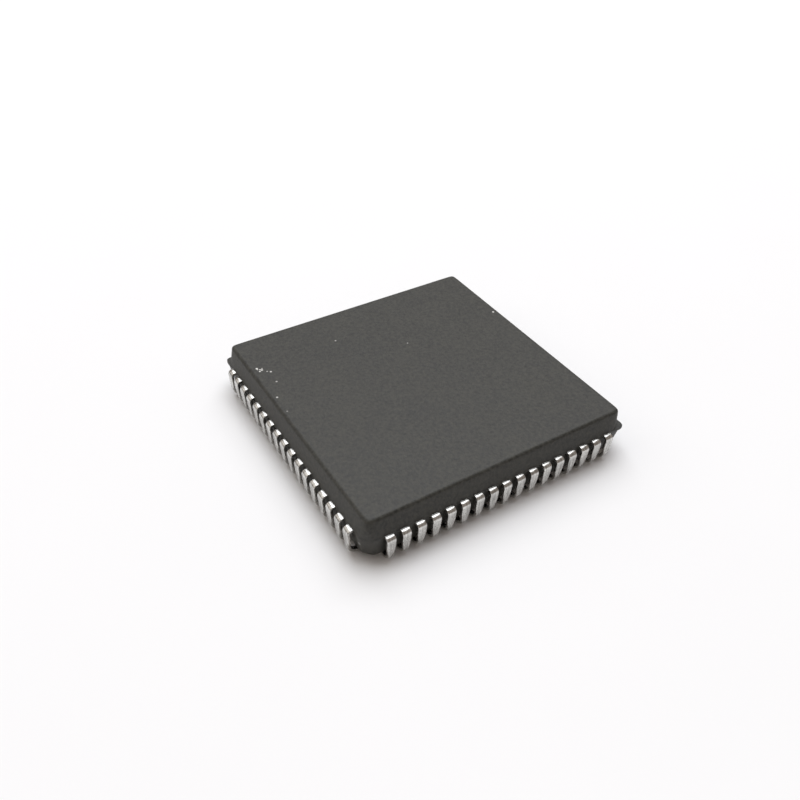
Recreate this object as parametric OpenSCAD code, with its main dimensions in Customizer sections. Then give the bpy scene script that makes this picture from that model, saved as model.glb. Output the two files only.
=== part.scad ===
// Square moulded chip carrier with a row of J-shaped leads along each side.
// Origin at the centre of the seating plane, Z up. The plain corner, which has no ear,
// is at -X +Y. Sizes are in millimetres.

/* [Lead rows] */
// Leads along each side
leads_per_side = 17; // [13:2:21]
// Spacing of the leads
lead_pitch = 1.27; // [1.2:0.01:1.4]
// Distance from the last lead of a row to the corner's other side
row_end = 1.94; // [1.9:0.01:2.4]

/* [Body] */
// Height of the top face above the seating plane
total_h = 4.25; // [4.1:0.01:4.8]
// Height of the underside above the seating plane
standoff = 0.64; // [0.5:0.01:0.7]
// How far the top edge is set in from the parting line
top_inset = 0.36; // [0.2:0.01:0.5]
// How far the bottom edge is set in from the parting line
bottom_inset = 0.28; // [0.1:0.01:0.4]
// Radius along the four top edges
top_edge_r = 0.36; // [0.15:0.01:0.5]
// Radius along the four bottom edges
bottom_edge_r = 0.12; // [0.05:0.01:0.2]
// Upright bevel above each ear, measured along the sides
corner_bevel = 1; // [0.6:0.05:1.2]
// Bevel below each ear, at the parting line
low_bevel = 0.55; // [0.4:0.05:0.8]
// Bevel on the plain corner, at the parting line
plain_bevel = 0.8; // [0.6:0.05:1.2]
// How far the bevels below the parting line slant in towards the underside
bevel_slant = 0.4; // [0.2:0.05:0.6]
// How far the tip of an ear is cut back from the sharp corner
ear_cut = 0.12; // [0.05:0.01:0.35]

/* [Leads] */
// Thickness of the lead strip
lead_t = 0.25; // [0.2:0.01:0.3]
// Width of a lead at its shoulder
lead_w = 0.76; // [0.66:0.01:0.81]
// Width of a lead at its foot
foot_w = 0.46; // [0.35:0.01:0.55]
// Height of the top of the flat strip above the seating plane
lead_top = 2.67; // [2.5:0.01:2.85]
// How far the leads stand out from the side of the body
lead_reach = 0.475; // [0.45:0.005:0.6]
// Outer radius of the bend at the shoulder
shoulder_r = 0.38; // [0.3:0.01:0.42]
// Outer radius of the J-shaped foot
foot_r = 0.94; // [0.88:0.01:1.02]
// Angle at which a leg leans in towards its foot
leg_lean = 4; // [2:0.5:6]
// Straight end of the foot above its bend
tip_rise = 0.2; // [0.1:0.01:0.3]
// Height at which the wide part of a lead ends
taper_top = 1.6; // [1.4:0.01:2]
// Height at which the narrow part of a lead begins
taper_end = 0.56; // [0.4:0.01:0.8]
// Clearance between a lead's foot and the walls of its pocket in the underside
foot_clearance = 0.17; // [0.1:0.01:0.22]

/* [Chip] */
// Side of the silicon chip
die_side = 7; // [5:0.1:8]
// Thickness of the silicon chip
die_t = 0.38; // [0.25:0.01:0.5]
// Thickness of the adhesive under the chip
attach_t = 0.03; // [0.02:0.005:0.06]
// How far the pad reaches past the chip
pad_margin = 0.9; // [0.6:0.05:1.2]
// Width of the bars that hold the pad to the corners
tie_w = 0.4; // [0.3:0.01:0.5]
// Length over which those bars slope down to the pad
tie_run = 0.6; // [0.4:0.05:0.9]
// Moulded cover over the cut ends of those bars
tie_cover = 0.3; // [0.2:0.01:0.5]

/* [Bonding] */
// Gap between the pad and the inner ends of the leads
finger_gap = 0.7; // [0.5:0.05:1]
// Width of a lead where the wire lands
finger_tip_w = 0.24; // [0.18:0.01:0.28]
// Width of a lead where it fans out
finger_w = 0.46; // [0.35:0.01:0.5]
// Straight length of a lead's inner end
finger_land = 0.6; // [0.4:0.05:0.8]
// Distance from the last inner end of a row to the corner of the square that they stand on
tip_corner = 1.24; // [1.2:0.01:1.4]
// Depth in the body at which the leads have fanned out to their spacing
fan_depth = 0.8; // [0.7:0.05:1]
// Depth in the body at which a lead has its full width
neck_depth = 0.3; // [0.2:0.05:0.5]
// Thickness of the bond wires
wire_w = 0.033; // [0.025:0.001:0.05]
// Height of the wire loops
loop_h = 0.25; // [0.18:0.01:0.35]
// Distance from the edge of the chip to the wires' landing points
bond_inset = 0.15; // [0.1:0.01:0.25]
// Distance from the chip's corner to the first landing point along its edge
bond_corner = 0.36; // [0.3:0.01:0.6]

/* [Underside] */
// Diameter of the ejector marks
ejector_d = 2.4; // [1.5:0.1:3.5]
// Depth of the ejector marks
ejector_depth = 0.08; // [0.04:0.01:0.12]
// Distance of the ejector marks' centres from the sides of the body
ejector_inset = 4.8; // [4.5:0.1:6]

/* [Hidden] */
$fn = 64;
last = (leads_per_side - 1) / 2;
half = last * lead_pitch + row_end;
lead_out = half + lead_reach;
lead_low = lead_top - lead_t;
bend_y = lead_out - shoulder_r;
bend_z = lead_top - shoulder_r;
leg_len = (bend_z - foot_r - (shoulder_r - foot_r) * sin(leg_lean)) / cos(leg_lean);
foot_y = bend_y + (shoulder_r - foot_r) * cos(leg_lean) - leg_len * sin(leg_lean);
die_half = die_side / 2;
pad_half = die_half + pad_margin;
pad_top = lead_top - die_t - attach_t;
pad_low = pad_top - lead_t;
tip_ring = pad_half + finger_gap;
tip_pitch = (tip_ring - tip_corner) / last;
bond_pitch = (die_half - bond_corner) / last;
fan_y = half - fan_depth;
neck_y = half - neck_depth;
pocket_w = foot_w + 2 * foot_clearance;
pocket_in = foot_y - foot_r - foot_clearance;
pocket_out = foot_y - foot_r + lead_t + foot_clearance;
pocket_top = foot_r + tip_rise + foot_clearance;
side_angles = [0, 90, 180, 270];
corner_angles = [45, 135, 225, 315];
plain_angle = 135;
compound = [0.17, 0.17, 0.17];
tin = [0.78, 0.78, 0.77];
alloy = [0.72, 0.47, 0.34];
silver = [0.62, 0.62, 0.6];
silicon = [0.3, 0.32, 0.38];
gold = [0.9, 0.72, 0.3];

// Stands a drawing of distance and height upright across the X axis
module across(width) {
    translate([-width / 2, 0, 0])
        rotate([90, 0, 90])
            linear_extrude(width)
                children();
}

// Corner of the body's section: a drafted wall that turns through a radius into a flat face
module wall_section(rise, inset, edge_r) {
    away = inset + edge_r;
    reach = norm([away, rise - edge_r]);
    lean = atan(away / (rise - edge_r)) - asin(edge_r / reach);
    middle = [half - away, rise - edge_r];
    touch = middle + edge_r * [cos(lean), sin(lean)];
    polygon([[0, 0], [half, 0], touch, middle + [0, edge_r], [0, rise]]);
    translate(middle)
        circle(edge_r);
}

// Half of the moulding on one side of the parting plane, drafted along one pair of its sides
module drafted_pair(rise, inset, edge_r) {
    across(3 * half) {
        wall_section(rise, inset, edge_r);
        mirror([1, 0])
            wall_section(rise, inset, edge_r);
    }
}

// Half of the moulding on one side of the parting plane, with a bevel on each corner
module moulded_half(rise, inset, edge_r, bevel, slant) {
    difference() {
        intersection() {
            drafted_pair(rise, inset, edge_r);
            rotate(90)
                drafted_pair(rise, inset, edge_r);
        }
        for (a = corner_angles)
            past_bevel(a, bevel_place(a, bevel), slant, rise);
    }
}

// Distance from the axis of the package to a corner's bevel at the parting line
function bevel_place(angle, bevel) = (2 * half - (angle == plain_angle ? plain_bevel : bevel)) / sqrt(2);

// Room past a corner's bevel, which may slant in on its way from the parting plane
module past_bevel(angle, place, slant, rise) {
    rotate(angle - 90)
        across(2 * half)
            polygon([[place, 0], [2 * half, 0], [2 * half, rise], [place - slant, rise]]);
}

// Web between the leads, which ends in an ear at three of the corners
module eared_web() {
    difference() {
        linear_extrude(lead_t)
            intersection() {
                square(2 * half, center = true);
                circle(half * sqrt(2) - ear_cut);
            }
        past_bevel(plain_angle, bevel_place(plain_angle, plain_bevel), 0, lead_t);
    }
}

// The moulding before it is cut round what it holds
module moulding() {
    translate([0, 0, lead_top])
        moulded_half(total_h - lead_top, top_inset, top_edge_r, corner_bevel, 0);
    translate([0, 0, lead_low])
        eared_web();
    translate([0, 0, lead_low])
        mirror([0, 0, 1])
            moulded_half(lead_low - standoff, bottom_inset, bottom_edge_r, low_bevel, bevel_slant);
}

// Pockets in the underside that the tips of one row of leads curl into
module tip_pockets() {
    for (k = [-last : last])
        translate([k * lead_pitch - pocket_w / 2, pocket_in, 0])
            cube([pocket_w, pocket_out - pocket_in, pocket_top]);
}

// Round marks left by the ejector pins
module ejector_marks() {
    for (a = corner_angles)
        rotate(a)
            translate([(half - ejector_inset) * sqrt(2), 0, 0])
                cylinder(d = ejector_d, h = standoff + ejector_depth);
}

// Flat strip of one lead, from its inner end to the shoulder
module finger(k) {
    inner = k * tip_pitch;
    outer = k * lead_pitch;
    path = [[inner, tip_ring, finger_tip_w], [inner, tip_ring + finger_land, finger_tip_w],
            [outer, fan_y, finger_w], [outer, neck_y, lead_w], [outer, bend_y, lead_w]];
    right = [for (p = path) [p[0] + p[2] / 2, p[1]]];
    left = [for (i = [len(path) - 1 : -1 : 0]) [path[i][0] - path[i][2] / 2, path[i][1]]];
    translate([0, 0, lead_low])
        linear_extrude(lead_t)
            polygon(concat(right, left));
}

// Part of a ring of the lead strip, from one angle to another less than half a turn away
module strip_bend(outer_r, from, to) {
    far = 4 * outer_r;
    middle = (from + to) / 2;
    intersection() {
        difference() {
            circle(outer_r);
            circle(outer_r - lead_t);
        }
        polygon([[0, 0], far * [cos(from), sin(from)], far * [cos(middle), sin(middle)],
                 far * [cos(to), sin(to)]]);
    }
}

// Side view of the formed part of a lead: shoulder, leaning leg and J-shaped foot
module formed_profile() {
    translate([bend_y, bend_z]) {
        strip_bend(shoulder_r, -leg_lean, 90);
        rotate(-leg_lean)
            translate([shoulder_r - lead_t, -leg_len])
                square([lead_t, leg_len]);
    }
    translate([foot_y, foot_r]) {
        strip_bend(foot_r, -90, -leg_lean);
        strip_bend(foot_r, -180, -90);
        translate([-foot_r, 0])
            square([lead_t, tip_rise]);
    }
}

// Front view of a leg, which narrows towards its foot
module leg_outline() {
    polygon([[-foot_w / 2, 0], [foot_w / 2, 0], [foot_w / 2, taper_end], [lead_w / 2, taper_top],
             [lead_w / 2, lead_top], [-lead_w / 2, lead_top], [-lead_w / 2, taper_top],
             [-foot_w / 2, taper_end]]);
}

// Room that a lead's width leaves it: the leg's outline, and a strip of the foot's width for the tip
module lead_widths() {
    translate([0, lead_out, 0])
        rotate([90, 0, 0])
            linear_extrude(lead_out - foot_y)
                leg_outline();
    translate([-foot_w / 2, foot_y - foot_r, 0])
        cube([foot_w, 2 * foot_r, foot_r + tip_rise]);
}

// One lead, stamped and bent from a single strip
module lead(k) {
    finger(k);
    translate([k * lead_pitch, 0, 0])
        intersection() {
            across(lead_w)
                formed_profile();
            lead_widths();
        }
}

// A row of leads along the side at an angle from the +Y side
module lead_row(angle) {
    color(tin)
        rotate(angle)
            for (k = [-last : last])
                lead(k);
}

// Pad under the chip with its four formed bars
module pad_form() {
    start = pad_half * sqrt(2);
    translate([-pad_half, -pad_half, pad_low])
        cube([2 * pad_half, 2 * pad_half, lead_t]);
    for (a = corner_angles) {
        finish = bevel_place(a, corner_bevel) - tie_cover;
        rotate(a - 90)
            across(tie_w)
                polygon([[start - tie_w, pad_low], [start + tie_w, pad_low],
                         [start + tie_w + tie_run, lead_low], [finish, lead_low],
                         [finish, lead_top], [start + tie_w + tie_run, lead_top],
                         [start + tie_w, pad_top], [start - tie_w, pad_top]]);
    }
}

// Square plate of the chip's size
module die_plate(low, thickness) {
    translate([-die_half, -die_half, low])
        cube([die_side, die_side, thickness]);
}

// One bond wire: a flat-sided arch from the chip to the inner end of a lead
module wire(k) {
    from = [k * bond_pitch, die_half - bond_inset];
    to = [k * tip_pitch, tip_ring + finger_land / 2];
    span = norm(to - from);
    arch_r = (span * span / 4 + loop_h * loop_h) / (2 * loop_h);
    middle = (from + to) / 2;
    translate([middle[0], middle[1], lead_top])
        rotate(atan2(to[1] - from[1], to[0] - from[0]) - 90)
            across(wire_w)
                intersection() {
                    translate([0, loop_h - arch_r])
                        difference() {
                            circle(arch_r + wire_w / 2);
                            circle(arch_r - wire_w / 2);
                        }
                    translate([-span, 0])
                        square([2 * span, 2 * loop_h]);
                }
}

// All the bond wires
module wire_set() {
    for (a = side_angles)
        rotate(a)
            for (k = [-last : last])
                wire(k);
}

// Moulded body, cast round the pad, the chip, the wires and the flat parts of the leads
module body() {
    color(compound)
        difference() {
            moulding();
            for (a = side_angles)
                rotate(a) {
                    tip_pockets();
                    for (k = [-last : last])
                        finger(k);
                }
            ejector_marks();
            pad_form();
            die_plate(pad_top, attach_t + die_t);
            wire_set();
        }
}

// Leads along the +Y side
module leads_north() {
    lead_row(side_angles[0]);
}

// Leads along the -X side
module leads_west() {
    lead_row(side_angles[1]);
}

// Leads along the -Y side
module leads_south() {
    lead_row(side_angles[2]);
}

// Leads along the +X side
module leads_east() {
    lead_row(side_angles[3]);
}

// Metal pad that carries the chip
module die_pad() {
    color(alloy)
        pad_form();
}

// Layer of adhesive between the pad and the chip
module die_attach() {
    color(silver)
        die_plate(pad_top, attach_t);
}

// Silicon chip
module die() {
    color(silicon)
        die_plate(pad_top + attach_t, die_t);
}

// Fine wires from the chip to the leads
module bond_wires() {
    color(gold)
        wire_set();
}

body();
leads_north();
leads_west();
leads_south();
leads_east();
die_pad();
die_attach();
die();
bond_wires();
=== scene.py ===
"""Square moulded chip carrier on four rows of J-shaped leads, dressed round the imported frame.

The sizes are in millimetres, with the names that the part's source uses, and become metres
when a mesh is made. The origin is the centre of the seating plane and Z is up.
"""
import itertools
import logging
import math
from collections.abc import Iterable, Sequence
from dataclasses import dataclass, field
from enum import Enum
from typing import Any, Union

import bpy
import numpy as np
from mathutils import Matrix, Vector


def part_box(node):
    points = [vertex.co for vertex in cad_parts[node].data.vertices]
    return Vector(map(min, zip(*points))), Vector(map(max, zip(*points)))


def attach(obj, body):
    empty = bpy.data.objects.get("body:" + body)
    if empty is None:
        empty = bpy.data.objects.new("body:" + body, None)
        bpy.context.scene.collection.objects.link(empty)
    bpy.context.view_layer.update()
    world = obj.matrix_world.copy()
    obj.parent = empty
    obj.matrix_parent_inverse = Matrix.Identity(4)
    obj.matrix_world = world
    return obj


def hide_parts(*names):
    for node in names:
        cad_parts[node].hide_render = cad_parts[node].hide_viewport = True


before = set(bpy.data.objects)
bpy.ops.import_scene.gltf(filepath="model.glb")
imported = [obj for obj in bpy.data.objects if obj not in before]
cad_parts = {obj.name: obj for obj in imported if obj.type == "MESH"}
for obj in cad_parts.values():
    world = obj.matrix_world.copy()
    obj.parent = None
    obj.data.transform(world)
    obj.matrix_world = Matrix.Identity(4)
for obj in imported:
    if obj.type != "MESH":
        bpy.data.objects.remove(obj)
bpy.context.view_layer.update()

LOG = logging.getLogger("chip_carrier")
MM = 0.001
WHITE = (1.0, 1.0, 1.0)
SHARP_ANGLE = math.radians(38.0)
FLAT_WEIGHT = 80
NEAR = 1e-3
# Rings of an ejector mark, from its rim in: share of its radius and share of its depth.
MARK_RINGS = ((1.02, 0.0), (1.0, 0.1), (0.98, 0.9), (0.96, 1.0), (0.3, 1.0))

Colour = tuple[float, float, float]
Number = Union["Value", float]


class Side(Enum):
    """A side of the package, with its turn in quarter turns from the +Y side."""

    NORTH = 0
    WEST = 1
    SOUTH = 2
    EAST = 3

    @property
    def node(self) -> str:
        """Name of the CAD node that holds this side's row of leads."""
        return f"leads_{self.name.lower()}"

    def turn(self, points: np.ndarray) -> np.ndarray:
        """Turns points of the +Y side about the Z axis to this side.

        Args:
            points: array of places whose last axis is x, y, z.

        Returns:
            The turned places, in an array of the same shape.
        """
        angle = self.value * math.pi / 2
        cosine, sine = round(math.cos(angle)), round(math.sin(angle))
        x, y, z = np.moveaxis(points, -1, 0)
        return np.stack([cosine * x - sine * y, sine * x + cosine * y, z], axis=-1)


class Value:
    """A socket that carries a number; Python's operators on it add Math nodes."""

    def __init__(self, graph: "Graph", socket: bpy.types.NodeSocket) -> None:
        """Keeps the graph that the socket belongs to, and the socket."""
        self.graph = graph
        self.socket = socket

    def __add__(self, other: Number) -> "Value":
        """This value plus another."""
        return self.graph.math("ADD", self, other)

    def __sub__(self, other: Number) -> "Value":
        """This value less another."""
        return self.graph.math("SUBTRACT", self, other)

    def __rsub__(self, other: Number) -> "Value":
        """Another value less this one."""
        return self.graph.math("SUBTRACT", other, self)

    def __mul__(self, other: Number) -> "Value":
        """This value times another."""
        return self.graph.math("MULTIPLY", self, other)

    def __truediv__(self, other: Number) -> "Value":
        """This value over another."""
        return self.graph.math("DIVIDE", self, other)

    __radd__ = __add__
    __rmul__ = __mul__

    def larger(self, other: Number) -> "Value":
        """The larger of this value and another."""
        return self.graph.math("MAXIMUM", self, other)

    def clamp(self) -> "Value":
        """This value, held between 0 and 1."""
        return self.graph.math("ADD", self, 0.0, use_clamp=True)


class Graph:
    """The shader nodes of one material or of the world."""

    def __init__(self, tree: bpy.types.NodeTree) -> None:
        """Empties the node tree and keeps it.

        Args:
            tree: the node tree to fill.
        """
        self.tree = tree
        tree.nodes.clear()

    def add(self, kind: str, settings: dict[str, Any] | None = None,
            sockets: dict[str | int, Any] | None = None) -> bpy.types.Node:
        """Adds a node, sets its settings and then fills its sockets.

        Args:
            kind: the node's type.
            settings: attributes of the node.
            sockets: values, sockets or Value objects, by the input's name or number.

        Returns:
            The new node.
        """
        node = self.tree.nodes.new(kind)
        for name, setting in (settings or {}).items():
            setattr(node, name, setting)
        for name, content in (sockets or {}).items():
            self._fill(node.inputs[name], content)
        return node

    def _fill(self, target: bpy.types.NodeSocket, content: Any) -> None:
        """Links a socket to another, or sets its value.

        Args:
            target: the input socket.
            content: a Value, an output socket, or a plain value.
        """
        if isinstance(content, Value):
            content = content.socket
        if isinstance(content, bpy.types.NodeSocket):
            self.tree.links.new(content, target)
        else:
            target.default_value = content

    def math(self, operation: str, first: Number, second: Number,
             use_clamp: bool = False) -> Value:
        """Adds a Math node.

        Args:
            operation: the Math node's operation.
            first: its first value.
            second: its second value.
            use_clamp: whether the result is held between 0 and 1.

        Returns:
            The result.
        """
        node = self.add("ShaderNodeMath", {"operation": operation, "use_clamp": use_clamp},
                        {0: first, 1: second})
        return Value(self, node.outputs[0])

    def millimetres(self) -> bpy.types.NodeSocket:
        """The place on the object, in millimetres."""
        place = self.add("ShaderNodeTexCoord").outputs["Object"]
        return self.add("ShaderNodeVectorMath", {"operation": "SCALE"},
                        {0: place, "Scale": 1.0 / MM}).outputs["Vector"]

    def stretched(self, place: bpy.types.NodeSocket, scale: Sequence[float]) -> bpy.types.NodeSocket:
        """A place with each of its axes scaled.

        Args:
            place: the place's socket.
            scale: the three factors.

        Returns:
            The scaled place's socket.
        """
        return self.add("ShaderNodeVectorMath", {"operation": "MULTIPLY"},
                        {0: place, 1: tuple(scale)}).outputs["Vector"]

    def noise(self, place: bpy.types.NodeSocket, scale: float, detail: float = 2.0,
              roughness: float = 0.5) -> Value:
        """Noise about 0, from about -1 to 1.

        Args:
            place: the place's socket.
            scale: waves for each unit of the place.
            detail: number of finer layers.
            roughness: strength of the finer layers.

        Returns:
            The noise.
        """
        node = self.add("ShaderNodeTexNoise", None,
                        {"Vector": place, "Scale": scale, "Detail": detail, "Roughness": roughness})
        return Value(self, node.outputs["Fac"]) * 2.0 - 1.0

    def distance(self, place: bpy.types.NodeSocket, centre: Sequence[float]) -> Value:
        """How far a place is from a fixed centre.

        Args:
            place: the place's socket.
            centre: the centre, in the place's unit.

        Returns:
            The distance.
        """
        node = self.add("ShaderNodeVectorMath", {"operation": "DISTANCE"},
                        {0: place, 1: tuple(centre)})
        return Value(self, node.outputs["Value"])

    def blend(self, share: Number, first: Any, second: Any) -> bpy.types.NodeSocket:
        """Mixes two colours.

        Args:
            share: share of the second colour.
            first: a colour, or its socket.
            second: a colour, or its socket.

        Returns:
            The mixed colour's socket.
        """
        first, second = ((*c, 1.0) if isinstance(c, tuple) else c for c in (first, second))
        node = self.add("ShaderNodeMix", {"data_type": "RGBA"},
                        {"Factor": share, 6: first, 7: second})
        return node.outputs[2]

    def bump(self, height: Value, strength: float, depth: float) -> bpy.types.NodeSocket:
        """Surface normal of a fine relief.

        Args:
            height: the relief, about 0.
            strength: how strongly it shows, from 0 to 1.
            depth: millimetres of relief for a height of 1.

        Returns:
            The normal's socket.
        """
        return self.add("ShaderNodeBump", None, {"Strength": strength, "Distance": depth * MM,
                                                 "Height": height}).outputs["Normal"]

    def surface(self, sockets: dict[str, Any]) -> None:
        """Closes a material with a Principled shader.

        Args:
            sockets: the shader's values and links.
        """
        shader = self.add("ShaderNodeBsdfPrincipled", None, sockets)
        self.add("ShaderNodeOutputMaterial", None, {"Surface": shader.outputs["BSDF"]})


@dataclass(frozen=True)
class Finish:
    """A surface finish that can be put on a piece.

    Attributes:
        name: name of the finish.
        slot: name of the material slot that it stands for, or nothing for the studio; not used.
        colour: its main colour.
        roughness: its main roughness.
        metallic: 1 for a metal, 0 for anything else.
        cloud_scale: waves of the broad mottling for each millimetre.
        grain_scale: waves of the grain for each millimetre.
        dark: factor of the main colour where the surface is darkest.
        light: factor of the main colour where it is lightest.
        relief: depth of the fine relief, in millimetres.
    """

    name: str
    slot: str
    colour: Colour
    roughness: float
    metallic: float = 0.0
    cloud_scale: float = 1.6
    grain_scale: float = 22.0
    dark: float = 0.82
    light: float = 1.18
    relief: float = 0.004

    def material(self) -> bpy.types.Material:
        """Makes the finish's material.

        Returns:
            The new material.
        """
        material = bpy.data.materials.new(self.name)
        material.use_nodes = True
        material.diffuse_color = (*self.colour, 1.0)
        graph = Graph(material.node_tree)
        graph.surface({"Metallic": self.metallic, **self.sockets(graph)})
        return material

    def shade(self, factor: float) -> Colour:
        """The main colour times a factor."""
        return tuple(factor * part for part in self.colour)

    def toned(self, graph: Graph, tone: Value) -> bpy.types.NodeSocket:
        """The main colour from its darkest to its lightest, as a tone goes from 0 to 1."""
        return graph.blend(tone.clamp(), self.shade(self.dark), self.shade(self.light))

    def sockets(self, graph: Graph) -> dict[str, Any]:
        """Works out what changes over the surface.

        Args:
            graph: the material's nodes.

        Returns:
            Values and links for the Principled shader.
        """
        place = graph.millimetres()
        cloud = graph.noise(place, self.cloud_scale)
        grain = graph.noise(place, self.grain_scale, detail=3.0)
        return {
            "Base Color": self.toned(graph, 0.5 + 0.4 * cloud + 0.25 * grain),
            "Roughness": (self.roughness + 0.07 * cloud + 0.05 * grain).clamp(),
            "Normal": graph.bump(grain, 0.3, self.relief),
        }


@dataclass(frozen=True)
class Fleck:
    """A speck on the moulding.

    Attributes:
        centre: its place, in millimetres.
        radius: its size, in millimetres.
        strength: how much it covers, from 0 to 1.
        edge: how quickly the cover rises from its rim.
    """

    centre: tuple[float, float, float]
    radius: float
    strength: float
    edge: float = 2.2

    def mask(self, graph: Graph, place: bpy.types.NodeSocket) -> Value:
        """Cover of the speck: full round its centre and none past its radius.

        Args:
            graph: the material's nodes.
            place: the place on the object, in millimetres.

        Returns:
            The cover, from 0 to its strength.
        """
        inside = (1.0 - graph.distance(place, self.centre) / self.radius).clamp()
        return (inside * self.edge).clamp() * self.strength


@dataclass(frozen=True)
class MouldedCompound(Finish):
    """Dark moulding compound with a fine matt grain, specks of dust and a few dark pits.

    Attributes:
        dust: light specks.
        pits: dark specks.
        dust_colour: colour of the light specks.
        pit_shade: factor of the main colour in the dark specks.
        powder_scale: waves of the finest grain for each millimetre.
        gloss: strength of the mirror reflection, where 0.5 is a common plastic.
    """

    cloud_scale: float = 0.22
    grain_scale: float = 3.6
    dark: float = 0.35
    light: float = 1.65
    relief: float = 0.016
    dust: tuple[Fleck, ...] = ()
    pits: tuple[Fleck, ...] = ()
    dust_colour: Colour = (0.75, 0.74, 0.71)
    pit_shade: float = 0.3
    powder_scale: float = 21.0
    gloss: float = 0.42

    @staticmethod
    def cover(flecks: Iterable[Fleck], graph: Graph, place: bpy.types.NodeSocket) -> Number:
        """The largest cover of several specks.

        Args:
            flecks: the specks.
            graph: the material's nodes.
            place: the place on the object, in millimetres.

        Returns:
            The cover, from 0 to 1.
        """
        total: Number = 0.0
        for fleck in flecks:
            total = fleck.mask(graph, place).larger(total)
        return total

    def sockets(self, graph: Graph) -> dict[str, Any]:
        """Works out the grain, the mottling and the specks.

        Args:
            graph: the material's nodes.

        Returns:
            Values and links for the Principled shader.
        """
        place = graph.millimetres()
        cloud = graph.noise(place, self.cloud_scale, detail=3.0)
        grain = graph.noise(place, self.grain_scale, detail=4.0, roughness=0.7)
        powder = graph.noise(place, self.powder_scale, detail=2.0)
        clean = self.toned(graph, 0.5 + 0.25 * cloud + 1.4 * grain + 0.4 * powder)
        pitted = graph.blend(self.cover(self.pits, graph, place), clean, self.shade(self.pit_shade))
        dusty = self.cover(self.dust, graph, place)
        return {
            "Base Color": graph.blend(dusty, pitted, self.dust_colour),
            "Roughness": (self.roughness + 0.05 * cloud + 0.14 * grain + 0.3 * dusty).clamp(),
            "Normal": graph.bump(grain + 0.4 * powder, 0.8, self.relief),
            "Specular IOR Level": self.gloss,
        }


@dataclass(frozen=True)
class TinPlate(Finish):
    """Satin tin plate on formed strip, with drawing streaks that follow the strip.

    Attributes:
        streaks: waves of the streaks across and along the strip, for each millimetre.
    """

    cloud_scale: float = 1.7
    grain_scale: float = 7.0
    dark: float = 0.5
    light: float = 1.32
    relief: float = 0.006
    streaks: tuple[float, float, float] = (6.5, 0.7, 1.0)

    def sockets(self, graph: Graph) -> dict[str, Any]:
        """Works out the streaks, the smudges and the dull crystals of the plating.

        Args:
            graph: the material's nodes.

        Returns:
            Values and links for the Principled shader.
        """
        place = graph.millimetres()
        strip = graph.add("ShaderNodeUVMap", {"uv_map": "strip"}).outputs["UV"]
        streak = graph.noise(graph.stretched(strip, self.streaks), 1.0, detail=3.0, roughness=0.6)
        smudge = graph.noise(place, self.cloud_scale, detail=2.0)
        crystal = graph.noise(place, self.grain_scale, detail=3.0, roughness=0.6)
        dull = ((crystal + 0.5 * streak - 0.1) * 3.0).clamp()
        return {
            "Base Color": self.toned(graph, 0.68 + 1.2 * streak + 0.4 * smudge - 0.6 * dull),
            "Roughness": (self.roughness + 0.12 * streak + 0.08 * smudge + 0.15 * dull).clamp(),
            "Normal": graph.bump(streak + 0.8 * crystal, 0.35, self.relief),
        }


@dataclass(frozen=True)
class PaleBoard(Finish):
    """Matt white board with a faint cloudiness."""

    cloud_scale: float = 0.05
    dark: float = 0.99
    light: float = 1.01

    def sockets(self, graph: Graph) -> dict[str, Any]:
        """Works out the board's cloudiness.

        Args:
            graph: the material's nodes.

        Returns:
            Values and links for the Principled shader.
        """
        cloud = graph.noise(graph.millimetres(), self.cloud_scale, detail=4.0)
        return {"Base Color": self.toned(graph, 0.5 + 0.5 * cloud), "Roughness": self.roughness,
                "Specular IOR Level": 0.2}


COMPOUND = MouldedCompound(
    "moulded_compound", "compound", (0.0305, 0.0295, 0.024), 0.5,
    dust=(
        Fleck((7.54, 11.05, 4.25), 0.12, 1.0), Fleck((7.38, 11.05, 4.25), 0.08, 0.7),
        Fleck((7.29, 10.88, 4.25), 0.09, 0.8), Fleck((7.17, 10.76, 4.25), 0.12, 0.9),
        Fleck((7.08, 10.98, 4.25), 0.10, 0.9), Fleck((7.35, 10.67, 4.25), 0.08, 0.6),
        Fleck((6.78, 10.46, 4.25), 0.08, 0.6), Fleck((6.60, 10.21, 4.25), 0.11, 0.8),
        Fleck((5.19, 10.36, 4.25), 0.10, 0.6), Fleck((3.36, 11.18, 4.25), 0.11, 0.7),
        Fleck((1.43, 11.23, 4.25), 0.08, 0.4), Fleck((7.74, 3.53, 4.25), 0.09, 0.6),
        Fleck((4.31, -1.72, 4.25), 0.08, 0.5), Fleck((4.46, -11.15, 4.25), 0.12, 0.9),
        Fleck((-11.08, 11.95, 1.79), 0.16, 0.36),
    ),
    pits=(
        Fleck((-8.57, -1.12, 4.25), 0.11, 0.7), Fleck((8.13, 3.11, 4.25), 0.09, 0.7),
        Fleck((9.11, -11.36, 4.25), 0.12, 0.8), Fleck((-11.69, 9.37, 4.2), 0.16, 0.8),
    ),
)
TIN = TinPlate("satin_tin", "tin", (0.56, 0.555, 0.535), 0.24, 1.0)
COPPER_ALLOY = Finish("copper_alloy", "copper_alloy", (0.72, 0.42, 0.28), 0.35, 1.0)
ADHESIVE = Finish("silver_adhesive", "adhesive", (0.5, 0.5, 0.48), 0.6)
SILICON = Finish("polished_silicon", "silicon", (0.1, 0.11, 0.14), 0.18)
GOLD = Finish("gold_wire", "gold", (0.95, 0.66, 0.25), 0.25, 1.0)
BOARD = PaleBoard("pale_board", "", (0.9, 0.9, 0.905), 0.75)


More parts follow.
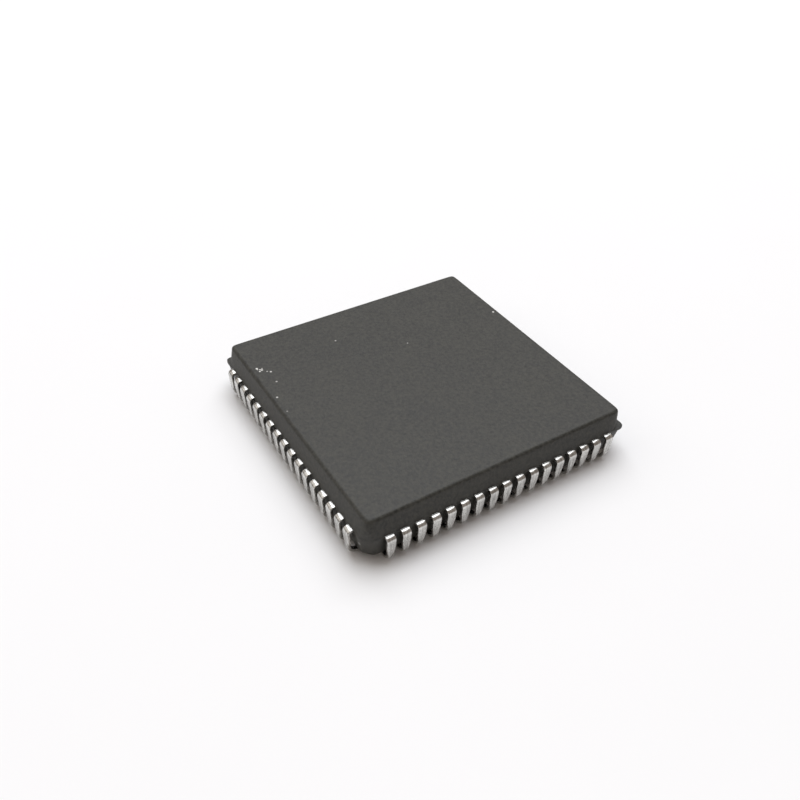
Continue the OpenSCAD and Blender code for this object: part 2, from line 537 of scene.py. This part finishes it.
@dataclass(frozen=True)
class Package:
    """Sizes that the moulding and the leads share, in millimetres.

    Attributes:
        half: half of the moulding's side at the parting line.
        total_h: height of the top face.
        standoff: height of the underside.
        lead_out: distance from the axis to the outer face of the leads.
        leads_per_side: number of leads in a row.
        lead_pitch: spacing of the leads.
        lead_top: height of the top of the flat strip.
        lead_t: thickness of the strip.
        foot_w: width of a foot that the pockets leave room for.
        foot_r: outer radius of the foot.
        shoulder_r: outer radius of the shoulder.
        leg_lean: angle at which a leg leans in, in radians.
        tip_rise: straight end of the foot.
    """

    half: float
    total_h: float
    standoff: float
    lead_out: float
    leads_per_side: int = 17
    lead_pitch: float = 1.27
    lead_top: float = 2.67
    lead_t: float = 0.25
    foot_w: float = 0.46
    foot_r: float = 0.94
    shoulder_r: float = 0.38
    leg_lean: float = math.radians(4.0)
    tip_rise: float = 0.2

    @classmethod
    def from_frame(cls) -> "Package":
        """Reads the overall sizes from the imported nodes."""
        low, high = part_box("body")
        return cls(half=high.x / MM, total_h=high.z / MM, standoff=low.z / MM,
                   lead_out=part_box(Side.EAST.node)[1].x / MM)

    @property
    def numbers(self) -> np.ndarray:
        """Numbers of the leads of a row, counted from its middle."""
        return np.arange(self.leads_per_side) - (self.leads_per_side - 1) / 2

    @property
    def lead_low(self) -> float:
        """Height of the underside of the flat strip."""
        return self.lead_top - self.lead_t

    @property
    def bend(self) -> np.ndarray:
        """Centre of the shoulder's bend, as distance from the axis and height."""
        return np.array([self.lead_out - self.shoulder_r, self.lead_top - self.shoulder_r])

    @property
    def foot(self) -> np.ndarray:
        """Centre of the foot's bend, as distance from the axis and height."""
        change = self.shoulder_r - self.foot_r
        cosine, sine = math.cos(self.leg_lean), math.sin(self.leg_lean)
        leg = (self.bend[1] - self.foot_r - change * sine) / cosine
        return np.array([self.bend[0] + change * cosine - leg * sine, self.foot_r])


class Piece:
    """A mesh that is put together from arrays of places and faces."""

    def __init__(self) -> None:
        """Starts with no places and no faces."""
        self.places: list[np.ndarray] = []
        self.faces: list[list[int]] = []
        self.count = 0

    def put(self, points: np.ndarray) -> np.ndarray:
        """Adds places.

        Args:
            points: array of places in millimetres, whose last axis is x, y, z.

        Returns:
            Their numbers, in an array of the same shape without the last axis.
        """
        flat = points.reshape(-1, 3)
        numbers = self.count + np.arange(len(flat)).reshape(points.shape[:-1])
        self.places.append(flat)
        self.count += len(flat)
        return numbers

    def quads(self, *corners: np.ndarray) -> None:
        """Adds four-sided faces.

        Args:
            corners: four arrays of numbers, in turn round the faces as seen from outside.
        """
        self.faces += np.stack([c.ravel() for c in corners], axis=1).tolist()

    def skin(self, rows: np.ndarray, closed: bool = True) -> None:
        """Joins rows of places into a surface that faces the outside.

        Args:
            rows: numbers, with rows that rise while their columns go round anticlockwise.
            closed: whether the last column joins the first.
        """
        if closed:
            rows = np.concatenate([rows, rows[:, :1]], axis=1)
        self.quads(rows[:-1, :-1], rows[:-1, 1:], rows[1:, 1:], rows[1:, :-1])

    def finish(self, name: str, finish: Finish, replaced: str,
               strip: np.ndarray | None = None) -> bpy.types.Object:
        """Makes the object, dresses it and lets it stand for its CAD node.

        Args:
            name: the object's name.
            finish: its finish.
            replaced: the CAD node that it stands for.
            strip: for each place, how far it is across and along its strip.

        Returns:
            The new object.
        """
        used, renumbered = np.unique(np.concatenate([np.array(f) for f in self.faces]),
                                     return_inverse=True)
        ends = np.cumsum([len(f) for f in self.faces])[:-1]
        faces = [f.tolist() for f in np.split(renumbered, ends)]
        mesh = bpy.data.meshes.new(name)
        mesh.from_pydata((np.concatenate(self.places)[used] * MM).tolist(), [], faces)
        mesh.shade_smooth()
        mesh.set_sharp_from_angle(angle=SHARP_ANGLE)
        if strip is not None:
            corners = np.empty(len(mesh.loops), dtype=np.int32)
            mesh.loops.foreach_get("vertex_index", corners)
            layer = mesh.uv_layers.new(name="strip")
            layer.uv.foreach_set("vector", strip[used][corners].astype(np.float32).ravel())
        mesh.materials.append(finish.material())
        piece = bpy.data.objects.new(name, mesh)
        bpy.context.scene.collection.objects.link(piece)
        flats = piece.modifiers.new("true_flats", "WEIGHTED_NORMAL")
        flats.weight = FLAT_WEIGHT
        flats.keep_sharp = True
        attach(piece, "root")
        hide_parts(replaced)
        LOG.info("%s: %d places, %d faces", name, len(used), len(faces))
        return piece


@dataclass
class Moulding:
    """The moulded body: two drafted halves, corner ears, tip pockets and ejector marks.

    Attributes:
        package: the shared sizes.
        top_inset: how far the top edge is set in from the parting line.
        bottom_inset: how far the bottom edge is set in.
        top_edge_r: radius along the top edges.
        bottom_edge_r: radius along the bottom edges.
        corner_bevel: bevel above each ear.
        low_bevel: bevel below each ear, at the parting line.
        plain_bevel: bevel of the plain corner, at the parting line.
        bevel_slant: how far the lower bevels slant in towards the underside.
        ear_cut: how far an ear's tip is cut back from the sharp corner.
        flash: how far the parting line stands proud.
        flash_h: height over which it rises to that.
        foot_clearance: room round a lead's foot in its pocket.
        ejector_d: diameter of the ejector marks.
        ejector_depth: depth of the ejector marks.
        ejector_inset: distance of their centres from the sides.
        mark_room: half side of the square of grid lines round a mark.
        softness: power that rounds the upright edges; a larger one leaves them sharper.
        top_softness: the same power at the top face, at the eared corners.
        plain_softness: the same power at the top face, at the plain corner.
        edge_steps: places round the arc of a top or bottom edge.
        wall_steps: places up a wall, with both its ends.
        mark_steps: grid lines across a mark.
        corner_steps: grid lines near each corner.
    """

    package: Package
    top_inset: float = 0.36
    bottom_inset: float = 0.28
    top_edge_r: float = 0.36
    bottom_edge_r: float = 0.12
    corner_bevel: float = 1.0
    low_bevel: float = 0.55
    plain_bevel: float = 0.8
    bevel_slant: float = 0.4
    ear_cut: float = 0.12
    flash: float = 0.012
    flash_h: float = 0.048
    foot_clearance: float = 0.17
    ejector_d: float = 2.4
    ejector_depth: float = 0.08
    ejector_inset: float = 4.8
    mark_room: float = 1.68
    softness: float = 170.0
    top_softness: float = 115.0
    plain_softness: float = 60.0
    edge_steps: int = 10
    wall_steps: int = 5
    mark_steps: int = 13
    corner_steps: int = 16
    piece: Piece = field(default_factory=Piece)

    def outline(self, angles: np.ndarray, sides: np.ndarray, corners: np.ndarray,
                powers: np.ndarray) -> np.ndarray:
        """Distance from the axis to the outline at each angle and level.

        Each flat of the outline, at distance d and facing angle a, asks for the distance
        d / cos(angle - a). The outline is the sum of the inverses of these distances to a
        high power, taken back to that power, so it follows the nearest flat and rounds the
        edges between two flats.

        Args:
            angles: the columns' angles.
            sides: distance of the four sides at each level.
            corners: distance of the four corner flats at each level.
            powers: the power at each level and angle.

        Returns:
            Distances by level and column.
        """
        facing = np.arange(8) * math.pi / 4
        flats = np.empty((len(sides), 8))
        flats[:, 0::2] = sides[:, None]
        flats[:, 1::2] = corners
        reach = np.clip(np.cos(angles[:, None] - facing), 0.0, None)
        scaled = reach[None] * self.package.half / flats[:, None, :]
        return self.package.half * (scaled ** powers[..., None]).sum(axis=2) ** (-1 / powers)

    def wall(self, rise: float, inset: float, edge_r: float) -> np.ndarray:
        """Section of one half: a drafted wall that turns through an arc into the flat face.

        Args:
            rise: height of the half.
            inset: how far its edge is set in.
            edge_r: radius of that edge.

        Returns:
            Pairs of half side and height, from the parting line to the flat face.
        """
        away = inset + edge_r
        reach = math.hypot(away, rise - edge_r)
        lean = math.atan(away / (rise - edge_r)) - math.asin(edge_r / reach)
        turn = np.linspace(lean, math.pi / 2, self.edge_steps)
        centre = np.array([self.package.half - away, rise - edge_r])
        arc = centre + edge_r * np.stack([np.cos(turn), np.sin(turn)], 1)
        start = np.array([[self.package.half, 0.0]])
        share = np.linspace(0.0, 1.0, self.wall_steps)[1:-1, None]
        return np.concatenate([start, start + share * (arc[0] - start), arc])

    def bevels(self, eared: float, slants: np.ndarray) -> np.ndarray:
        """Distances of the four corner flats at several levels.

        Args:
            eared: how far a flat is set in along the sides at the three eared corners.
            slants: how much further in the flats lie at each level.

        Returns:
            Distances by level and corner, from the +X +Y corner anticlockwise.
        """
        insets = np.array([eared, self.plain_bevel, eared, eared])
        return (2 * self.package.half - insets) / math.sqrt(2) - slants[:, None]

    def levels(self) -> tuple[np.ndarray, np.ndarray, np.ndarray]:
        """Half sides, heights and corner flats of the levels, from the underside to the top.

        The lower half comes first, then the web with its ears, which stands a trace proud as
        the parting line does, and then the upper half.

        Returns:
            Half sides, heights, and distances of the four corner flats, by level.
        """
        p = self.package
        fall, rise = p.lead_low - p.standoff, p.total_h - p.lead_top
        low = self.wall(fall, self.bottom_inset, self.bottom_edge_r)[::-1]
        high = self.wall(rise, self.top_inset, self.top_edge_r)
        low[-1, 0] -= self.flash
        high[0, 0] -= self.flash
        web = np.array([p.lead_low, p.lead_low + self.flash_h, p.lead_top - self.flash_h, p.lead_top])
        proud = np.array([0.0, self.flash, self.flash, 0.0])
        ear = math.sqrt(2) * self.ear_cut
        return (np.concatenate([low[:, 0], p.half + proud, high[:, 0]]),
                np.concatenate([p.lead_low - low[:, 1], web, p.lead_top + high[:, 1]]),
                np.concatenate([self.bevels(self.low_bevel, self.bevel_slant * low[:, 1] / fall),
                                self.bevels(ear, self.flash - proud),
                                self.bevels(self.corner_bevel, np.zeros(len(high)))]))

    def powers(self, angles: np.ndarray, heights: np.ndarray) -> np.ndarray:
        """Rounding powers: even up to the parting line, then eased to the top face's own.

        Args:
            angles: the columns' angles.
            heights: heights of the levels.

        Returns:
            Powers by level and column.
        """
        plain = np.cos(angles - 3 * math.pi / 4) > math.cos(math.pi / 4)
        top = np.where(plain, self.plain_softness, self.top_softness)
        share = np.interp(heights, [self.package.lead_top, self.package.total_h], [0.0, 1.0])
        return self.softness + share[:, None] * (top - self.softness)

    def grid_lines(self) -> np.ndarray:
        """Places of the underside's grid lines: pocket edges, mark edges and corner steps."""
        p = self.package
        rows = np.array([self.pocket_in, self.pocket_out, self.pocket_out + self.foot_clearance])
        leads = p.numbers * p.lead_pitch
        needed = np.concatenate([leads - self.pocket_half, leads + self.pocket_half, rows, -rows])
        mark = self.mark_at + np.linspace(-self.mark_room, self.mark_room, self.mark_steps)
        corner = np.linspace(self.pocket_in - 2 * self.pocket_half, rows[-1], self.corner_steps)
        extra = np.concatenate([mark, -mark, corner, -corner])
        apart = np.abs(extra[:, None] - needed).min(axis=1) > self.foot_clearance / 4
        return np.unique(np.concatenate([needed, extra[apart]]).round(6))

    @property
    def mark_at(self) -> float:
        """Distance of the ejector marks' centres from the axis, along X and along Y."""
        return self.package.half - self.ejector_inset

    @property
    def pocket_half(self) -> float:
        """Half of a pocket's width."""
        return self.package.foot_w / 2 + self.foot_clearance

    @property
    def pocket_in(self) -> float:
        """Distance from the axis to the pockets' inner wall."""
        return self.package.foot[0] - self.package.foot_r - self.foot_clearance

    @property
    def pocket_out(self) -> float:
        """Distance from the axis to the pockets' outer wall."""
        return self.pocket_in + self.package.lead_t + 2 * self.foot_clearance

    @staticmethod
    def rim(grid: np.ndarray) -> np.ndarray:
        """Numbers round the edge of a grid, anticlockwise as seen from above."""
        return np.concatenate([grid[:-1, 0], grid[-1, :-1], grid[:0:-1, -1], grid[0, :0:-1]])

    def pockets(self, middles: np.ndarray) -> np.ndarray:
        """Which cells of the underside are pockets.

        A cell is one where its middle is within a pocket's width of a lead along one axis,
        and between the pockets' inner and outer walls along the other.

        Args:
            middles: middles of the cells along each axis.

        Returns:
            True for each cell that is a pocket.
        """
        leads = self.package.numbers * self.package.lead_pitch
        along = np.abs(middles[:, None] - leads).min(axis=1) < self.pocket_half
        across = (np.abs(middles) > self.pocket_in) & (np.abs(middles) < self.pocket_out)
        return (along[:, None] & across[None]) | (across[:, None] & along[None])

    def underside(self, lines: np.ndarray) -> np.ndarray:
        """Builds the flat underside with its pockets and marks.

        The cells between the grid lines lie at one of two levels, and an upright wall stands
        wherever two neighbours differ.

        Args:
            lines: the grid lines along each axis.

        Returns:
            Numbers of the places round the underside's edge.
        """
        p = self.package
        x, y = np.meshgrid(lines, lines, indexing="ij")
        deep = p.foot_r + p.tip_rise + self.foot_clearance
        low, high = (self.piece.put(np.stack([x, y, np.full_like(x, level)], -1))
                     for level in (p.standoff, deep))
        middles = (lines[:-1] + lines[1:]) / 2
        pocket = self.pockets(middles)
        whole = ~pocket
        for centre in itertools.product((-self.mark_at, self.mark_at), repeat=2):
            block = np.ix_(*(np.abs(lines - place) <= self.mark_room + NEAR for place in centre))
            cells = np.ix_(*(np.abs(middles - place) < self.mark_room for place in centre))
            whole[cells] = False
            self.ejector_mark(self.rim(low[block]), *centre)
        for grid, cells in ((low, whole), (high, pocket)):
            corners = grid[:-1, :-1], grid[:-1, 1:], grid[1:, 1:], grid[1:, :-1]
            self.piece.quads(*(numbers[cells] for numbers in corners))
        self.pocket_walls(low, high, pocket)
        return self.rim(low)

    def pocket_walls(self, low: np.ndarray, high: np.ndarray, pocket: np.ndarray) -> None:
        """Builds the upright walls between cells of different levels.

        Args:
            low: numbers of the places at the underside's level.
            high: numbers of the places at the pockets' level.
            pocket: which cells are pockets.
        """
        into = pocket[1:].astype(int) - pocket[:-1]
        a0, a1, b0, b1 = low[1:-1, :-1], low[1:-1, 1:], high[1:-1, :-1], high[1:-1, 1:]
        self.piece.quads(*(n[into > 0] for n in (a0, a1, b1, b0)))
        self.piece.quads(*(n[into < 0] for n in (a1, a0, b0, b1)))
        into = pocket[:, 1:].astype(int) - pocket[:, :-1]
        a0, a1, b0, b1 = low[:-1, 1:-1], low[1:, 1:-1], high[:-1, 1:-1], high[1:, 1:-1]
        self.piece.quads(*(n[into > 0] for n in (a1, a0, b0, b1)))
        self.piece.quads(*(n[into < 0] for n in (a0, a1, b1, b0)))

    def ejector_mark(self, rim: np.ndarray, x: float, y: float) -> None:
        """Fills a square of the underside with a shallow round recess.

        Rings run from the square to a circle at the same level, up its short wall, and in to
        a small disc at the middle.

        Args:
            rim: numbers of the places round the square, anticlockwise.
            x: place of the mark's centre.
            y: place of the mark's centre.
        """
        places = np.concatenate(self.piece.places)[rim]
        angle = np.arctan2(places[:, 1] - y, places[:, 0] - x)
        shares, depths = np.array(MARK_RINGS).T[..., None]
        radius = shares * self.ejector_d / 2
        height = self.package.standoff + depths * self.ejector_depth
        rings = np.broadcast_arrays(x + radius * np.cos(angle), y + radius * np.sin(angle), height)
        rows = np.concatenate([rim[None], self.piece.put(np.stack(rings, -1))])
        self.piece.skin(rows[:, ::-1])
        self.piece.faces.append(rows[-1, ::-1].tolist())

    def build(self) -> bpy.types.Object:
        """Builds the whole moulding as one closed skin.

        Returns:
            The body's object.
        """
        lines = self.grid_lines()
        bottom = self.underside(lines)
        rim_places = np.concatenate(self.piece.places)[bottom]
        angles = np.arctan2(rim_places[:, 1], rim_places[:, 0])
        sides, heights, corners = self.levels()
        radius = self.outline(angles, sides, corners, self.powers(angles, heights))
        walls = self.piece.put(np.stack(np.broadcast_arrays(
            radius * np.cos(angles), radius * np.sin(angles), heights[:, None]), -1))
        inner = (sides[-1] - self.top_edge_r / 2) / lines[-1]
        x, y = np.meshgrid(lines * inner, lines * inner, indexing="ij")
        top = self.piece.put(np.stack([x, y, np.full_like(x, self.package.total_h)], -1))
        self.piece.skin(np.concatenate([bottom[None], walls, self.rim(top)[None]]))
        self.piece.skin(top.T, closed=False)
        return self.piece.finish("moulded_body", COMPOUND, "body")


@dataclass
class LeadRow:
    """A row of leads, each one strip: inner finger, shoulder, leaning leg and J-shaped foot.

    Attributes:
        package: the shared sizes.
        side: the side that the row is on.
        lead_w: width of a lead at its shoulder.
        foot_w: width of a lead at its foot.
        taper_top: height at which the wide part of a leg ends.
        taper_end: height at which the narrow part begins.
        tip_ring: distance from the axis to the inner ends.
        tip_pitch: spacing of the inner ends.
        tip_w: width of the inner ends.
        tip_land: straight length of the inner ends.
        finger_w: width where the leads have fanned out.
        fan_depth: depth in the body at which they have fanned out.
        neck_depth: depth in the body at which they have their full width.
        edge_r: radius of the stamped edges.
        shoulder_steps: stations round the shoulder.
        foot_steps: stations round the foot.
        leg_steps: stations down the leg, with both its ends.
        edge_steps: places round each stamped edge.
        pattern_gap: how far apart neighbours lie on the streaks' pattern, over their spacing.
    """

    package: Package
    side: Side
    lead_w: float = 0.72
    foot_w: float = 0.39
    taper_top: float = 1.8
    taper_end: float = 0.4
    tip_ring: float = 5.1
    tip_pitch: float = 0.4825
    tip_w: float = 0.24
    tip_land: float = 0.6
    finger_w: float = 0.46
    fan_depth: float = 0.8
    neck_depth: float = 0.3
    edge_r: float = 0.045
    shoulder_steps: int = 15
    foot_steps: int = 27
    leg_steps: int = 8
    edge_steps: int = 4
    pattern_gap: float = 3.7

    def arc(self, centre: np.ndarray, outer_r: float, start: float, end: float,
            steps: int) -> np.ndarray:
        """Stations round a bend: the strip's middle line and the angle of its outer face.

        Args:
            centre: the bend's centre, as distance from the axis and height.
            outer_r: radius of the strip's outer face.
            start: first angle.
            end: last angle.
            steps: number of stations.

        Returns:
            Rows of distance, height and angle.
        """
        angle = np.linspace(start, end, steps)
        middle_r = outer_r - self.package.lead_t / 2
        return np.stack([centre[0] + middle_r * np.cos(angle),
                         centre[1] + middle_r * np.sin(angle), angle], 1)

    def path(self) -> np.ndarray:
        """Stations from the inner end to the tip.

        They run along a flat, round a bend, down a straight leg, round a bend and up a
        straight end.

        Returns:
            Rows of distance from the axis, height and angle of the outer face.
        """
        p = self.package
        upright = math.pi / 2
        flat = [self.tip_ring, self.tip_ring + self.tip_land, p.half - self.fan_depth,
                p.half - self.neck_depth, p.half]
        finger = np.array([[d, p.lead_top - p.lead_t / 2, upright] for d in flat])
        shoulder = self.arc(p.bend, p.shoulder_r, upright, -p.leg_lean, self.shoulder_steps)
        foot = self.arc(p.foot, p.foot_r, -p.leg_lean, -math.pi, self.foot_steps)
        share = np.linspace(0.0, 1.0, self.leg_steps)[1:-1, None]
        leg = shoulder[-1] + share * (foot[0] - shoulder[-1])
        rise = np.array([[0.0, 0.5, 0.0], [0.0, 1.0, 0.0]]) * p.tip_rise
        return np.concatenate([finger, shoulder, leg, foot, foot[-1] + rise])

    def widths(self, path: np.ndarray) -> np.ndarray:
        """Width at each station.

        It is stepped along the finger, and then falls by height from the shoulder's width to
        the foot's on a smooth cubic step.

        Args:
            path: the stations.

        Returns:
            The widths.
        """
        share = np.clip((path[:, 1] - self.taper_end) / (self.taper_top - self.taper_end), 0.0, 1.0)
        share[path[:, 0] < self.package.foot[0]] = 0.0
        eased = share * share * (3.0 - 2.0 * share)
        width = self.foot_w + (self.lead_w - self.foot_w) * eased
        finger = [self.tip_w, self.tip_w, self.finger_w, self.lead_w, self.lead_w]
        width[:len(finger)] = finger
        return width

    def section(self) -> tuple[np.ndarray, np.ndarray, np.ndarray]:
        """Rounded section of the strip: its corners' signs across and through, and the rounding.

        Returns:
            Signs across the strip, signs through it, and pairs of rounding offsets.
        """
        quarter = np.linspace(0.0, math.pi / 2, self.edge_steps)
        starts = np.arange(4)[:, None] * math.pi / 2
        turn = (starts + quarter).ravel()
        across = np.repeat([1.0, -1.0, -1.0, 1.0], self.edge_steps)
        through = np.repeat([1.0, 1.0, -1.0, -1.0], self.edge_steps)
        return across, through, self.edge_r * np.stack([np.cos(turn), np.sin(turn)], 1)

    def build(self) -> bpy.types.Object:
        """Carries the rounded section along the path for every lead of the row at once.

        Returns:
            The row's object.
        """
        p = self.package
        path = self.path()
        width = self.widths(path)
        across, through, rounding = self.section()
        fan = np.ones(len(path))
        fan[:2] = self.tip_pitch / p.lead_pitch
        middle = p.numbers[:, None] * p.lead_pitch * fan
        sideways = across * (width[:, None] / 2 - self.edge_r) + rounding[:, 0]
        outward = through * (p.lead_t / 2 - self.edge_r) + rounding[:, 1]
        distance = path[:, :1] + np.cos(path[:, 2:]) * outward
        height = path[:, 1:2] + np.sin(path[:, 2:]) * outward
        places = np.stack(np.broadcast_arrays(middle[..., None] + sideways, distance, height), -1)
        piece = Piece()
        numbers = piece.put(self.side.turn(places))
        for lead in numbers:
            piece.skin(lead[:, ::-1])
            piece.faces.append(lead[0].tolist())
            piece.faces.append(lead[-1, ::-1].tolist())
        run = np.concatenate([[0.0], np.cumsum(np.hypot(*np.diff(path[:, :2], axis=0).T))])
        spread = middle[..., None] * self.pattern_gap + sideways
        strip = np.stack(np.broadcast_arrays(spread, run[:, None]), -1).reshape(-1, 2)
        return piece.finish(f"{self.side.name.lower()}_leads", TIN, self.side.node, strip)


@dataclass
class ChipInside:
    """The pieces that the moulding hides: pad, adhesive, chip and bond wires.

    Attributes:
        finishes: the finish of each CAD node.
    """

    finishes: dict[str, Finish] = field(default_factory=lambda: {
        "die_pad": COPPER_ALLOY, "die_attach": ADHESIVE, "die": SILICON, "bond_wires": GOLD})

    def dress(self) -> None:
        """Gives each hidden CAD node its material."""
        for node, finish in self.finishes.items():
            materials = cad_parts[node].data.materials
            materials.clear()
            materials.append(finish.material())
            LOG.info("%s: dressed in %s", node, finish.name)


@dataclass(frozen=True)
class Softbox:
    """A square soft lamp that faces the package.

    Attributes:
        name: the lamp's name.
        toward: its direction from the package.
        away: its distance, in metres.
        side: its side, in metres.
        glow: how bright its face is, where 1 is a white surface.
        colour: colour of its light.
    """

    name: str
    toward: tuple[float, float, float]
    away: float
    side: float
    glow: float
    colour: Colour

    def hang(self) -> None:
        """Puts the lamp up; its power is its glow times its area times pi."""
        lamp = bpy.data.lights.new(self.name, "AREA")
        lamp.size = self.side
        lamp.color = self.colour
        lamp.energy = self.glow * math.pi * self.side ** 2
        holder = bpy.data.objects.new(self.name, lamp)
        direction = Vector(self.toward).normalized()
        holder.location = direction * self.away
        holder.rotation_euler = direction.to_track_quat("Z", "Y").to_euler()
        bpy.context.scene.collection.objects.link(holder)


@dataclass
class Studio:
    """Pale floor, soft light and the camera, in the photograph's frame.

    Attributes:
        floor_side: side of the floor, in metres.
        softboxes: the lamps.
        room: light of the room all round.
        room_colour: colour of that light.
        camera_at: place of the camera, in millimetres.
        camera_to: place that it looks at, in millimetres.
        camera_roll: its roll, in degrees.
        lens: its focal length, in millimetres.
        sensor: width of its sensor, in millimetres.
    """

    floor_side: float = 0.8
    softboxes: tuple[Softbox, ...] = (
        Softbox("overhead_softbox", (0.34, -0.24, 1.0), 1.1, 1.15, 3.25, (0.97, 1.0, 1.04)),
        Softbox("side_softbox", (0.5, 0.66, 0.68), 1.2, 0.95, 0.75, (1.02, 1.0, 0.96)),
    )
    room: float = 0.25
    room_colour: Colour = (1.12, 0.98, 0.88)
    camera_at: tuple[float, float, float] = (-42.818, 29.756, 45.819)
    camera_to: tuple[float, float, float] = (0.369, 1.446, 2.0)
    camera_roll: float = 1.956
    lens: float = 36.25
    sensor: float = 36.0

    def floor(self) -> None:
        """Lays the floor under the package."""
        half = self.floor_side / 2
        mesh = bpy.data.meshes.new("floor")
        corners = [(-half, -half, 0), (half, -half, 0), (half, half, 0), (-half, half, 0)]
        mesh.from_pydata(corners, [], [(0, 1, 2, 3)])
        mesh.materials.append(BOARD.material())
        board = bpy.data.objects.new("floor", mesh)
        bpy.context.scene.collection.objects.link(board)

    def light(self) -> None:
        """Lights the package from the room, which the camera sees as white, and from the lamps."""
        world = bpy.data.worlds.new("room")
        bpy.context.scene.world = world
        world.use_nodes = True
        graph = Graph(world.node_tree)
        seen = graph.add("ShaderNodeLightPath").outputs["Is Camera Ray"]
        shade = tuple(self.room * part for part in self.room_colour)
        colour = graph.blend(Value(graph, seen), shade, WHITE)
        glow = graph.add("ShaderNodeBackground", None, {"Color": colour})
        graph.add("ShaderNodeOutputWorld", None, {"Surface": glow.outputs["Background"]})
        for softbox in self.softboxes:
            softbox.hang()

    def camera(self) -> None:
        """Sets up the camera at the photograph's angle."""
        view = bpy.data.cameras.new("camera")
        view.sensor_width = self.sensor
        view.lens = self.lens
        view.clip_start = MM
        view.clip_end = self.floor_side
        back = (Vector(self.camera_at) - Vector(self.camera_to)).normalized()
        right = Vector((0.0, 0.0, 1.0)).cross(back).normalized()
        turned = Matrix.Rotation(math.radians(self.camera_roll), 3, back) @ right
        axes = Matrix((turned, back.cross(turned), back)).transposed()
        holder = bpy.data.objects.new("camera", view)
        holder.matrix_world = Matrix.Translation(Vector(self.camera_at) * MM) @ axes.to_4x4()
        bpy.context.scene.collection.objects.link(holder)
        bpy.context.scene.camera = holder

    def build(self) -> None:
        """Sets up the floor, the light, the camera and the plain view."""
        self.floor()
        self.light()
        self.camera()
        bpy.context.scene.view_settings.view_transform = "Standard"


def main() -> None:
    """Builds the pieces in order, then the studio."""
    logging.basicConfig(level=logging.INFO, format="%(name)s: %(message)s")
    package = Package.from_frame()
    Moulding(package).build()
    for side in Side:
        LeadRow(package, side).build()
    ChipInside().dress()
    Studio().build()


if __name__ == "__main__":
    main()
